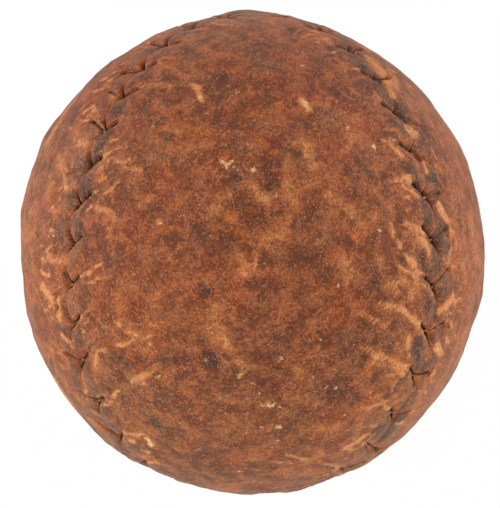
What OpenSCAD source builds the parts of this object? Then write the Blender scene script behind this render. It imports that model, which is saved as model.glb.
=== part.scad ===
// A hand-stitched leather ball, 19th-century pattern: a rubber core, three windings,
// two interlocking figure-eight panels and the two waxed threads that lace them.
// The origin is the ball's centre. +Z passes through the middle of one lobe of the
// first panel, -Y through that panel's waist, and +Y through the second panel's waist.

/* [Ball] */
// Diameter over the leather
ball_d = 74.4; // [72:0.1:80]

/* [Core and windings] */
// Diameter of the moulded rubber core
core_d = 37; // [24:1:44]
// Share of the wound depth, from the core to the leather, that is coarse wool
coarse_winding_share = 0.49; // [0.3:0.01:0.55]
// Share of it that is finer wool, under the cotton winding that fills the rest
fine_winding_share = 0.29; // [0.1:0.01:0.32]
// Seating clearance between one layer and the next
layer_gap = 0.05; // [0.02:0.01:0.1]

/* [Leather] */
// Thickness of the leather
leather_t = 1.4; // [1.2:0.1:2]
// Width of the slit between the two panels' edges
seam_gap = 0.9; // [0.8:0.05:1.4]
// Width of the valley that the stitches pull into the leather
valley_w = 8.4; // [7.6:0.2:11]
// Width of the valley's pressed floor
valley_floor_w = 6.6; // [6.2:0.1:7.4]
// Depth of the valley below the ball's surface
valley_depth = 0.75; // [0.5:0.05:0.9]

/* [Stitching] */
// Number of stitches round the whole seam, an even number: half of them on each side
stitch_count = 60; // [52:2:66]
// Diameter of the waxed thread
thread_d = 0.65; // [0.4:0.05:0.7]
// Diameter of the awl holes
hole_d = 1; // [0.9:0.05:1.3]
// Distance of the awl holes from the middle of the seam
hole_inset = 2.5; // [2.2:0.1:2.7]
// How far along the seam the awl holes lie behind the point of their stitch
stitch_reach = 1.7; // [1.2:0.1:2]
// How far past that point the second arm runs before it dives
stitch_cross = 1.1; // [1:0.1:1.3]
// Clearance round the thread where it is laced
lace_gap = 0.1; // [0.05:0.01:0.15]
// Place of the first stitch along the seam
stitch_start = 0.9; // [0:0.1:3]
// How far the hand-set stitches drift from an even spacing
stitch_drift = 4.5; // [0:0.1:5]
// Where along the seam that drift begins, as an angle
stitch_drift_from = -119; // [-180:1:180]

/* [Hidden] */
$fn = 96;

// Shape of the seam: its sway between the lobes, its fullness there and its swing along Y
seam_sway_share = 0.373;
seam_fullness_share = 0.124;
seam_swing_share = 1.361;
// Straight cuts that follow the seam, and the reach of the shapes that cut the panels
seam_cuts = 120;
cutter_reach_share = 2.2;
overrun = 0.5;
// Degrees of the curve between two points of the seam's length table
seam_step = 1;
// Sides of the thread, the stitch number at its middle, the places where it bends between
// two holes, and the direction that its first ring of points is set out from
thread_sides = 6;
thread_middle = 0.5;
arm_bend_along_share = 0.75;
arm_bend_across_share = 0.33;
under_bend_share = 0.5;
thread_start_up = [0, 1, 1];

// Radii, from the leather inwards
ball_r = ball_d / 2;
leather_in_r = ball_r - leather_t;
cotton_r = leather_in_r - layer_gap;
core_r = core_d / 2;
wound_t = cotton_r - core_r;
coarse_r = core_r + coarse_winding_share * wound_t;
fine_r = coarse_r + fine_winding_share * wound_t;
valley_r = ball_r - valley_depth;
thread_r = thread_d / 2;
// The thread's two levels: in the valley, and under the leather in the winding's channel
over_r = valley_r + lace_gap / 2 + thread_r;
under_r = leather_in_r - lace_gap / 2 - thread_r;
channel_r = under_r - thread_r - lace_gap;
channel_w = 2 * hole_inset + hole_d + 2 * lace_gap;

leather_colour = [0.5, 0.27, 0.15];
worn_leather_colour = [0.58, 0.33, 0.19];
thread_colour = [0.72, 0.5, 0.28];
rubber_colour = [0.13, 0.12, 0.12];
coarse_wool_colour = [0.45, 0.45, 0.5];
fine_wool_colour = [0.85, 0.82, 0.74];
cotton_colour = [0.93, 0.9, 0.82];

// A direction made one unit long
function unit(v) = v / norm(v);

// The seam as directions from the centre: a closed curve that swings twice along Y while
// it goes once round, with the same shape on both panels
function seam_direction(a) = unit([
    sin(a) + seam_sway_share * sin(3 * a) - seam_fullness_share * sin(5 * a),
    seam_swing_share * cos(2 * a),
    cos(a) - seam_sway_share * cos(3 * a) - seam_fullness_share * cos(5 * a)]);

// Length along the seam at each step of the curve, paired with the angle
seam_run = [for (a = 0, u = 0; a <= 360;
    u = u + ball_r * norm(seam_direction(a + seam_step) - seam_direction(a)), a = a + seam_step) [u, a]];
seam_length = seam_run[len(seam_run) - 1][0];
stitch_pitch = seam_length / stitch_count;
function seam_angle(u) = lookup(u < 0 ? u + seam_length : u > seam_length ? u - seam_length : u, seam_run);

// Length along the seam of the point of stitch n, where n may lie between two stitches
function stitch_run(n) = n * stitch_pitch + stitch_start
    + stitch_drift * sin(360 * n / stitch_count + stitch_drift_from);

// Direction across the seam, towards the first panel
function seam_side(a) =
    unit(cross(seam_direction(a + seam_step) - seam_direction(a - seam_step), seam_direction(a)));

// A point beside the seam: at an angle of the curve, across the seam towards the first
// panel, and at a radius
function beside_seam(a, across, radius) =
    radius * unit(ball_r * seam_direction(a) + across * seam_side(a));

// The lacing starts between stitches 0 and 1, at the closed end of the first panel's lobe,
// and runs down both sides of the seam, so the stitches point two ways
function stitch_way(n) = n > 0 ? 1 : -1;

// The same for stitch n, further along the seam by a length
function beside_stitch(n, along, across, radius) =
    beside_seam(seam_angle(stitch_run(n) + along), across, radius);

// A turn that carries the first panel's place to the second's
module other_panel() {
    rotate(a = 180, v = [1, 0, 1])
        children();
}

module hollow_sphere(outer_r, inner_r) {
    difference() {
        sphere(r = outer_r);
        sphere(r = inner_r);
    }
}

// Everything under the first panel, seen from the centre: walls along the seam and an
// outer face of strips that join the seam's left and right sides
module panel_cone() {
    far_r = cutter_reach_share * ball_r;
    edge = [for (i = [0 : seam_cuts - 1])
        far_r / ball_r * beside_seam(360 * i / seam_cuts, seam_gap / 2, ball_r)];
    centre = seam_cuts;
    walls = [for (i = [0 : seam_cuts - 1]) [centre, (i + 1) % seam_cuts, i]];
    half = seam_cuts / 2;
    strips = [for (i = [1 : half - 2])
        each [[i, i + 1, seam_cuts - i], [i + 1, seam_cuts - i - 1, seam_cuts - i]]];
    ends = [[0, 1, seam_cuts - 1], [half - 1, half, half + 1]];
    polyhedron(points = [each edge, [0, 0, 0]], faces = [each walls, each strips, each ends]);
}

// A band along the seam between two radii, each with its own width. Its outer face bends
// at the middle, so that it stays clear of the ball's surface however wide it is
module seam_band(outer_r, outer_w, inner_r, inner_w) {
    corners = [[0, outer_r], [outer_w / 2, outer_r], [inner_w / 2, inner_r],
        [-inner_w / 2, inner_r], [-outer_w / 2, outer_r]];
    count = len(corners);
    points = [for (i = [0 : seam_cuts - 1], c = corners) beside_seam(360 * i / seam_cuts, c[0], c[1])];
    faces = [for (i = [0 : seam_cuts - 1], j = [0 : count - 1])
        let (here = i * count, next = (i + 1) % seam_cuts * count, k = (j + 1) % count)
            each [[here + j, next + j, here + k], [next + j, next + k, here + k]]];
    polyhedron(points = points, faces = faces);
}

// The valley that the stitches pull into both panels' edges
module seam_valley() {
    slope = (valley_w - valley_floor_w) / valley_depth;
    seam_band(ball_r + overrun, valley_w + slope * overrun, valley_r, valley_floor_w);
}

// Awl holes through one panel, one for each stitch
module awl_holes(side) {
    for (n = [1 - stitch_count / 2 : stitch_count / 2]) {
        axis = beside_stitch(n, -stitch_way(n) * stitch_reach, side * hole_inset, 1);
        rotate([0, acos(axis[2]), atan2(axis[1], axis[0])])
            translate([0, 0, leather_in_r - overrun])
                cylinder(h = leather_t + 2 * overrun, d = hole_d);
    }
}

// The first panel before its edge is worked. The sphere is turned so that its poles lie
// in the second panel's lobes, clear of every cut
module panel_blank() {
    intersection() {
        rotate(a = 120, v = [1, 1, 1])
            hollow_sphere(ball_r, leather_in_r);
        panel_cone();
    }
}

// One figure-eight panel: side is 1 for the first and -1 for the second
module cover_panel(side) {
    difference() {
        if (side > 0)
            panel_blank();
        else
            other_panel()
                panel_blank();
        seam_valley();
        awl_holes(side);
    }
}

// Where one thread goes at the i-th stitch from its middle: up through a hole, across the
// valley, down the slit and away under the other panel, so that it comes up on the other
// side next time. way is 1 or -1, for the two sides of the seam
function stitch_points(i, way, hand) =
    let (n = way > 0 ? i + 1 : -i, side = i % 2 == 0 ? hand : -hand,
         hole = -way * stitch_reach, dive = way * (hand > 0 ? 0 : stitch_cross),
         bend = hole + arm_bend_along_share * (dive - hole))
    [beside_stitch(n, hole, side * hole_inset, under_r),
     beside_stitch(n, hole, side * hole_inset, over_r),
     beside_stitch(n, bend, arm_bend_across_share * side * hole_inset, over_r),
     beside_stitch(n, dive, 0, over_r),
     beside_stitch(n, dive, 0, under_r),
     beside_stitch(n, dive + way * thread_d, -under_bend_share * side * hole_inset, under_r)];

// Half of a thread, from its middle to the end that is tucked into the slit
function lacing(way, hand) =
    let (points = [for (i = [0 : stitch_count / 2 - 1]) each stitch_points(i, way, hand)])
    [for (i = [0 : len(points) - 2]) points[i]];
function reversed(path) = [for (i = [len(path) - 1 : -1 : 0]) path[i]];

// Tangents of a path, and cross directions carried along it without twist
function tangents(path) = let (last = len(path) - 1) [for (i = [0 : last])
    i == 0 ? unit(path[1] - path[0])
    : i == last ? unit(path[last] - path[last - 1])
    : unit(unit(path[i + 1] - path[i]) + unit(path[i] - path[i - 1]))];
function flattened(v, t) = unit(v - (v * t) * t);
function normals(ways) = [for (i = 0, v = flattened(thread_start_up, ways[0]); i < len(ways);
    v = flattened(v, ways[min(i + 1, len(ways) - 1)]), i = i + 1) v];

// A round cord along a path, with flat ends
module cord(path, radius, sides) {
    ways = tangents(path);
    ups = normals(ways);
    last = len(path) - 1;
    points = [for (i = [0 : last], j = [0 : sides - 1])
        path[i] + radius * (cos(360 * j / sides) * ups[i] + sin(360 * j / sides) * cross(ways[i], ups[i]))];
    skin = [for (i = [0 : last - 1], j = [0 : sides - 1])
        let (here = i * sides, next = here + sides, k = (j + 1) % sides)
            each [[here + j, next + j, here + k], [next + j, next + k, here + k]]];
    polyhedron(points = points,
        faces = [each skin, [for (j = [0 : sides - 1]) j], [for (j = [sides - 1 : -1 : 0]) last * sides + j]]);
}

module rubber_core() {
    color(rubber_colour)
        sphere(r = core_r);
}

module coarse_wool_winding() {
    color(coarse_wool_colour)
        hollow_sphere(coarse_r, core_r + layer_gap);
}

module fine_wool_winding() {
    color(fine_wool_colour)
        hollow_sphere(fine_r, coarse_r + layer_gap);
}

// The last winding fills up to the leather, with a channel in it where the thread lies
module cotton_winding() {
    color(cotton_colour)
        difference() {
            hollow_sphere(cotton_r, fine_r + layer_gap);
            seam_band(cotton_r + overrun, channel_w, channel_r, channel_w);
        }
}

module cover_panel_a() {
    color(leather_colour)
        cover_panel(1);
}

module cover_panel_b() {
    color(worn_leather_colour)
        cover_panel(-1);
}

module waxed_thread(hand) {
    color(thread_colour)
        cord([each reversed(lacing(-1, hand)),
              beside_stitch(thread_middle, 0, hand * hole_inset, under_r),
              each lacing(1, hand)], thread_r, thread_sides);
}

module waxed_thread_a() {
    waxed_thread(1);
}

module waxed_thread_b() {
    waxed_thread(-1);
}

rubber_core();
coarse_wool_winding();
fine_wool_winding();
cotton_winding();
cover_panel_a();
cover_panel_b();
waxed_thread_a();
waxed_thread_b();
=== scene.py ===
"""The looks of an old hand-stitched leather ball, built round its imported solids.

Sizes here are in millimetres and become metres as each mesh is made. A place on the ball is
a direction from its centre, or two lengths: u along the seam from the closed end of the
first panel's lobe, positive on the right, and x across the seam into a panel.
"""

from functools import reduce
import math

import bpy
import numpy as np
from mathutils import Matrix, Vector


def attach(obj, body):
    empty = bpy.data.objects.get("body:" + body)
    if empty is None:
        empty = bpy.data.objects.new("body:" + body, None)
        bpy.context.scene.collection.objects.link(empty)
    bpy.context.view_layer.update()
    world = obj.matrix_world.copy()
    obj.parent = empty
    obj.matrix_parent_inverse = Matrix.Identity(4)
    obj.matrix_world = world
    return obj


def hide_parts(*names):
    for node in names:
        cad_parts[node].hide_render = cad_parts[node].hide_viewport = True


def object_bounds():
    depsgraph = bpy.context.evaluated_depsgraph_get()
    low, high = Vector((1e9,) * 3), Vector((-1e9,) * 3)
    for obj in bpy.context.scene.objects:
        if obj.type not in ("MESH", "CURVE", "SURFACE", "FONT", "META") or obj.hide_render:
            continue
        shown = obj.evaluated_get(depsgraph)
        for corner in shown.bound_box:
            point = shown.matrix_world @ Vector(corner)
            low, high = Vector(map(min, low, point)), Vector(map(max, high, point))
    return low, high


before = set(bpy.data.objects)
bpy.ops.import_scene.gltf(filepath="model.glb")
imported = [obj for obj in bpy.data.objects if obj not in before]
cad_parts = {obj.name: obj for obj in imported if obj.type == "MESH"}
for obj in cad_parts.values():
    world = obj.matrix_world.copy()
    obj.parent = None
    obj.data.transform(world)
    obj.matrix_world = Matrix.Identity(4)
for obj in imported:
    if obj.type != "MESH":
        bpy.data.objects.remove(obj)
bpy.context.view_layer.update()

# A millimetre in metres
MM = 0.001

# The ball, worn a little out of round
ROUND = 37.2
HALF_SIZES = np.array([36.5, 37.9, 37.2])
LEATHER_T = 1.4

# The seam's shape, as in the solids
SWAY, FULLNESS, SWING = 0.373, 0.124, 1.361

# Where the photograph was taken from: the picture's size, the ball's centre in it and the
# focal length, in pixels; the camera's distance and sensor, in mm; and the ways to it and up
PICTURE = (500, 508)
CENTRE_PX = (251.0, 252.5)
FOCAL_PX = 2356.0
DISTANCE = 372.0
SENSOR = 36.0
TO_CAMERA = np.array([-0.0063, -0.1024, 0.9947])
PICTURE_UP = np.array([-0.0365, 0.9941, 0.1021])


def unit(v):
    return v / np.linalg.norm(v, axis=-1, keepdims=True)


def bell(value, half):
    """1 at nought, 1/e a half width away: exp of minus the ratio squared."""
    return np.exp(-(value / half) ** 2)


def plateau(value, half):
    """As bell, with a flat top and steeper sides: exp of minus the ratio's fourth power."""
    return np.exp(-(value / half) ** 4)


def step_up(value, low, high):
    """0 below low, 1 above high and 3t^2 - 2t^3 between."""
    t = np.clip((value - low) / (high - low), 0, 1)
    return t * t * (3 - 2 * t)


TO_CAMERA = unit(TO_CAMERA)
PICTURE_UP = unit(PICTURE_UP - TO_CAMERA * (PICTURE_UP @ TO_CAMERA))
PICTURE_RIGHT = np.cross(PICTURE_UP, TO_CAMERA)


def seen_at(px, py):
    """The direction, on the unit ball, of the point seen at a pixel: the ray through the
    pixel meets the ball's ellipsoid, which is then drawn back to a unit ball."""
    px, py = np.asarray(px, float), np.asarray(py, float)
    ray = (PICTURE_RIGHT * ((px - CENTRE_PX[0]) / FOCAL_PX)[..., None]
           - PICTURE_UP * ((py - CENTRE_PX[1]) / FOCAL_PX)[..., None] - TO_CAMERA)
    start = TO_CAMERA * DISTANCE / HALF_SIZES
    ray = ray / HALF_SIZES
    a = (ray * ray).sum(-1)
    b = (ray * start).sum(-1)
    c = start @ start - 1
    t = (-b - np.sqrt(np.maximum(b * b - a * c, 0))) / a
    return unit(start + ray * t[..., None])


def on_ball(n, level):
    """Places in mm at a level over the ball, along unit directions n, out of round as it is."""
    return n * (ROUND + level) * HALF_SIZES / ROUND


# ---------------------------------------------------------------- the seam


def seam_direction(a):
    """A closed curve on the unit ball: it swings twice along Y while it goes once round."""
    return unit(np.stack([
        np.sin(a) + SWAY * np.sin(3 * a) - FULLNESS * np.sin(5 * a),
        SWING * np.cos(2 * a),
        np.cos(a) - SWAY * np.cos(3 * a) - FULLNESS * np.cos(5 * a)], axis=-1))


# The seam's angle at each length run along it, and its whole length
SEAM_STEPS = 14400
SEAM_ANGLES = np.linspace(-np.pi, np.pi, SEAM_STEPS + 1)
SEAM_RUNS = ROUND * np.concatenate([[0], np.cumsum(
    np.linalg.norm(np.diff(seam_direction(SEAM_ANGLES), axis=0), axis=1))])
SEAM_L = SEAM_RUNS[-1]
SEAM_RUNS -= SEAM_L / 2


def wrap(u):
    """A length along the seam brought into half a turn either way."""
    return (u + SEAM_L / 2) % SEAM_L - SEAM_L / 2


def seam_angle(u):
    """The seam's angle at a length along it."""
    return np.interp(wrap(u), SEAM_RUNS, SEAM_ANGLES)


def beside_seam(u, x):
    """Directions beside the seam: the seam's direction moved by x along the cross product of
    its slope and itself, and made unit again. The first panel is where x is positive."""
    a = seam_angle(u)
    step = 0.001
    here = seam_direction(a)
    ahead = seam_direction(a + step) - seam_direction(a - step)
    side = unit(np.cross(ahead, here))
    return unit(ROUND * here + np.asarray(x)[..., None] * side)


def to_second_panel(n):
    """Half a turn about the X and Z diagonal carries the first panel to the second."""
    return np.stack([n[..., 2], -n[..., 1], n[..., 0]], axis=-1)


WAVES_SUMMED = 28


def waves(n, length, seed):
    """A smooth random field on the ball, about one wave to each length: a sum of sine
    waves that run in random directions."""
    r = np.random.default_rng(seed)
    ways = unit(r.standard_normal((WAVES_SUMMED, 3))) * (2 * np.pi * ROUND / length)
    ways = ways * (0.7 + 0.6 * r.random((WAVES_SUMMED, 1)))
    phases = 2 * np.pi * r.random(WAVES_SUMMED)
    return np.sin(n @ ways.T + phases).sum(-1) / math.sqrt(WAVES_SUMMED / 2)


# ---------------------------------------------------------------- the stitches

STITCHES_A_SIDE = 30
STITCHES = 2 * STITCHES_A_SIDE
i = np.arange(STITCHES_A_SIDE)
# Where the stitches' points lie, counted from the picture. On the right they are nearly even;
# on the left they start closer together
right_points = 3.65 + 6.763 * i - np.sin(np.pi * i / 13.5) + 1.6 * bell(i - 13, 2.2)
left_points = 5.4 + 5.904 * i + 0.978 * np.maximum(i - 11, 0) + 1.86 * bell(i - 14.5, 2)
POINTS = np.concatenate([right_points, -left_points])
WAYS = np.concatenate([np.ones(STITCHES_A_SIDE), -np.ones(STITCHES_A_SIDE)])
# How far the holes lie from the seam's course, in the first panel and in the second, and how
# far behind the stitch's point, where the hand wandered more in the second: SEEN_BACK has the
# stitches whose second hole the picture shows out of line
HOLE_X = (3.2, 2.4)
rng = np.random.default_rng(7)
HOLE_BACK = np.stack([1.6 + 0.3 * rng.standard_normal(STITCHES),
                      1.1 + 0.5 * rng.standard_normal(STITCHES)])
SEEN_BACK = {4: -2.0, 5: -1.9, 6: 0.0, 7: 1.3, 8: 2.2, 9: 0.9, 10: 0.0, 11: -0.3, 12: -1.8,
             33: -0.8, 36: -1.2, 37: -1.9, 38: -1.7, 39: -2.1, 40: 2.3}
HOLE_BACK[1, list(SEEN_BACK)] = list(SEEN_BACK.values())
# How plain each arm of a stitch shows; four of the second panel's are almost worn away
ARM = np.stack([0.75 + 0.25 * rng.random(STITCHES), 0.45 + 0.5 * rng.random(STITCHES)])
ARM[1, 36:40] = 0.25
# Each stitch pulls the seam into the first panel by up to PULL, most a little before its
# point, and the pull fades out at PULL_FADES from the edge
PULL, PULL_AT, PULL_HALF, PULL_FADES = 1.15, -0.15, 1.1, 4.5
APEX = PULL * bell(PULL_AT, PULL_HALF)
# Where the slit opens: past the point of most stitches, before it on the upper left
SLIT_AT = np.full(STITCHES, 0.6)
SLIT_AT[30:41] = -0.9
SLIT_AT[:3] = -0.4
SLIT_HALF_L = 1.1 + 0.4 * rng.random(STITCHES)
SLIT_HALF_W = 0.07 + 0.1 * rng.random(STITCHES)
EDGE_GAP = 0.012
# How far it gapes where the two arms meet, most on the right
GAPE = np.repeat([0.26, 0.05], STITCHES_A_SIDE) + 0.12 * rng.random(STITCHES)
GAPE_AT, GAPE_HALF_L = 0.25, 0.6


def past_point(u, k):
    """How far each place lies past the point of stitch k, the way the stitches run."""
    return wrap(u - POINTS[k]) * WAYS[k]


def course(u):
    """How far the seam between stitches lies into the first panel, in mm: the panel whose
    lobe the picture shows stands wider than the second, most at its closed end."""
    u = wrap(u)
    wide = 2.2 + 0.4 * step_up(u, 38, 60) + 1.1 * bell(u + 3, 20)
    return -0.3 - (wide - 0.3) * (1 - step_up(np.abs(u), 88, 118))


def pulled(u):
    """How far the stitches pull the seam out of its course, into the first panel: the sum of
    a bell for each."""
    return sum(PULL * bell(past_point(u, k) - PULL_AT, PULL_HALF) for k in range(STITCHES))


def opening(u):
    """How far the slit is open, from 0 between stitches to 1 at them, and its half width: a
    flat-topped swelling and a short gape at each stitch, over the gap of the closed edge."""
    share = np.zeros(np.shape(u))
    half = np.full(np.shape(u), EDGE_GAP)
    for k in range(STITCHES):
        v = past_point(u, k)
        here = plateau(v - SLIT_AT[k], SLIT_HALF_L[k])
        share = np.maximum(share, here)
        half = half + SLIT_HALF_W[k] * here + GAPE[k] * bell(v - GAPE_AT, GAPE_HALF_L)
    return share, half


# Streaks and patches measured on the picture: from one pixel to another, half width in mm
# and strength. Rubbed ones are pale and stand up, narrow ones most.
RUBBED = (
    (150, 88, 172, 86, 0.85, .6), (135, 94, 150, 90, 0.61, .5), (166, 66, 187, 80, 0.52, .6),
    (193, 84, 202, 100, 0.61, .9), (120, 160, 137, 159, 0.85, .6), (128, 168, 140, 172, 0.68, .8),
    (98, 207, 112, 215, 0.85, .7), (112, 215, 126, 240, 0.52, .7), (108, 226, 118, 245, 0.45, .5),
    (104, 193, 120, 183, 0.45, .7), (157, 220, 159, 224, 0.61, .8),
    (150, 138, 178, 150, 0.94, .45), (190, 150, 214, 141, 0.61, .5),
    (214, 141, 226, 136, 0.38, .5), (212, 215, 226, 195, 1.4, .6), (207, 112, 212, 116, 0.45, .6),
    (68, 130, 88, 137, 1, .5), (60, 165, 69, 190, 1.2, .6), (67, 186, 67, 190, 0.45, .9),
    (50, 175, 48, 195, 1, .4), (94, 107, 100, 118, 0.68, .6), (52, 210, 63, 226, 0.85, .5),
    (44, 258, 62, 260, 1.5, .6), (300, 100, 308, 108, 1.2, .8), (296, 60, 300, 85, 1.4, .45),
    (290, 75, 295, 95, 1, .35), (262, 113, 276, 110, 0.85, .4), (258, 122, 285, 120, 0.85, .35),
    (322, 72, 346, 74, 0.61, .5), (335, 55, 346, 71, 0.45, .5), (310, 138, 312, 155, 1, .4),
    (355, 118, 371, 106, 0.52, .55), (372, 106, 384, 128, 0.45, .6),
    (366, 102, 370, 105, 0.61, .7), (387, 84, 393, 95, 1, .9), (409, 129, 415, 135, 1, .9),
    (390, 143, 402, 154, 0.68, .8), (424, 162, 428, 172, 0.68, .8), (402, 187, 418, 195, 0.45, .8),
    (439, 207, 445, 219, 1, 1.), (340, 155, 338, 180, 0.85, .45), (330, 195, 340, 205, 2.0, .58),
    (352, 205, 350, 222, 0.61, .6), (345, 222, 358, 224, 0.52, .6), (288, 160, 286, 200, 1.4, .45),
    (280, 235, 288, 215, 1.5, .5), (262, 240, 275, 238, 1.4, .6), (254, 186, 263, 200, 1.3, .9),
    (388, 225, 400, 245, 0.68, .8), (405, 225, 425, 232, 0.85, .9), (420, 240, 428, 250, 0.85, .8),
    (412, 232, 420, 243, 0.85, .6), (453, 218, 456, 250, 0.45, .8), (451, 248, 446, 263, 0.45, .8),
    (447, 215, 449, 238, 0.38, .6), (385, 205, 396, 200, 0.61, .4), (328, 235, 332, 245, 0.61, .5),
    (270, 90, 275, 95, 0.38, .6), (44, 288, 52, 300, 1.1, .9), (58, 298, 60, 320, 0.68, .9),
    (62, 335, 73, 348, 0.61, .8), (73, 348, 76, 357, 0.45, .6), (52, 347, 54, 349, 0.38, .8),
    (55, 360, 58, 370, 0.52, .6), (83, 277, 103, 263, 0.42, .8), (84, 280, 113, 278, 0.42, .75),
    (118, 290, 120, 305, 1.3, .5), (133, 285, 137, 292, 0.61, .5), (100, 350, 118, 345, 0.61, .8),
    (118, 345, 142, 338, 0.52, .9), (142, 338, 152, 333, 0.38, .8), (98, 352, 96, 365, 0.85, .7),
    (95, 366, 105, 378, 1, .4), (117, 321, 119, 324, 0.45, .9), (125, 328, 135, 335, 0.61, .7),
    (132, 381, 150, 373, 0.85, .8), (150, 372, 158, 365, 1, .6), (110, 396, 122, 392, 0.52, .8),
    (105, 405, 112, 400, 0.45, .8), (118, 400, 125, 412, 0.38, .5), (82, 375, 86, 395, 0.85, .6),
    (92, 410, 102, 418, 0.52, .7), (126, 433, 145, 433, 0.61, .8), (214, 305, 217, 338, 2.6, .56),
    (222, 335, 228, 352, 1.2, .7), (226, 301, 240, 314, 0.23, .6), (195, 335, 190, 345, 0.61, .6),
    (238, 254, 248, 264, 1.7, .62), (243, 268, 246, 275, 0.68, .9), (238, 376, 244, 373, 0.45, .8),
    (150, 432, 175, 445, 0.61, .4), (180, 425, 195, 430, 0.45, .4), (154, 455, 160, 462, 0.61, .7),
    (160, 463, 195, 470, 0.61, .5), (165, 392, 185, 385, 1.4, .35), (257, 238, 258, 266, 0.38, .7),
    (252, 271, 265, 268, 1, .6), (296, 368, 300, 376, 0.85, .8), (312, 378, 313, 384, 0.45, .7),
    (312, 320, 313, 330, 0.85, .5), (318, 345, 320, 350, 0.52, .6), (391, 278, 396, 284, 0.52, .8),
    (393, 262, 417, 278, 0.45, .9), (405, 254, 418, 272, 0.61, 1.), (414, 280, 426, 287, 0.45, .8),
    (405, 288, 409, 300, 0.61, .7), (378, 303, 400, 311, 0.61, .9), (400, 311, 421, 324, 0.61, 1.),
    (362, 315, 388, 325, 0.61, .7), (360, 345, 378, 352, 0.52, .9), (378, 352, 402, 367, 0.52, .9),
    (375, 355, 376, 360, 0.61, .9), (407, 337, 408, 357, 0.68, .8), (395, 368, 402, 374, 0.68, .9),
    (372, 372, 358, 380, 0.45, .5), (393, 378, 393, 398, 0.61, .6), (365, 410, 386, 402, 0.52, .8),
    (370, 418, 372, 428, 0.45, .6), (345, 448, 360, 440, 0.85, 1.), (338, 453, 345, 448, 0.52, .6),
    (452, 296, 440, 312, 0.85, .9), (462, 298, 452, 302, 0.61, .6), (436, 346, 440, 354, 0.94, 1.),
    (418, 392, 432, 382, 0.45, .8), (395, 426, 405, 420, 0.52, .8), (310, 425, 335, 428, 0.61, .6),
    (350, 425, 360, 424, 0.45, .7), (288, 455, 310, 460, 0.61, .9), (270, 462, 292, 463, 0.38, .9),
    (318, 462, 340, 466, 0.45, .9), (250, 468, 280, 472, 0.38, .7), (335, 466, 342, 476, 0.52, .7),
    (372, 62, 392, 84, 2.4, .7), (400, 90, 414, 112, 1.8, .45), (36, 215, 38, 300, 2.2, .42),
    (58, 385, 80, 418, 2.2, .75), (122, 166, 136, 184, 2.2, .3), (130, 328, 150, 342, 1.9, .4),
    (230, 448, 262, 452, 0.45, .5), (300, 444, 322, 447, 0.38, .5), (205, 447, 226, 443, 0.38, .4),
    (402, 280, 416, 292, 1.8, .6), (92, 114, 100, 126, 1.6, .6), (305, 145, 312, 165, 2.0, .62),
    (378, 360, 392, 372, 1.8, .6), (350, 210, 360, 222, 1.8, .6), (289, 184, 294, 198, 2.0, .6),
    (398, 344, 406, 358, 1.6, .5), (372, 246, 378, 262, 1.6, .5), (344, 260, 352, 276, 2.0, .6),
    (240, 362, 250, 372, 1.8, .6), (106, 86, 114, 100, 1.6, .5), (70, 172, 76, 190, 1.3, .5),
    (300, 398, 314, 404, 1.8, .5), (303, 374, 312, 384, 1.6, .5), (164, 292, 176, 302, 1.8, .5),
    (376, 194, 388, 206, 1.6, .5), (50, 142, 72, 102, 2.8, .6), (428, 278, 433, 288, 1.2, .6),
    (419, 328, 426, 338, 1.4, .6), (441, 250, 446, 262, 1.2, .55), (228, 256, 238, 268, 1.6, .5),
    (386, 284, 394, 292, 1.3, .6), (396, 110, 402, 118, 1.2, .5), (76, 138, 86, 148, 1.6, .6),
    (412, 372, 418, 380, 1.2, .5), (405, 234, 412, 242, 1.2, .5), (150, 440, 162, 450, 1.6, .5),
    (75, 194, 83, 202, 1.2, .5),
)
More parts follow.
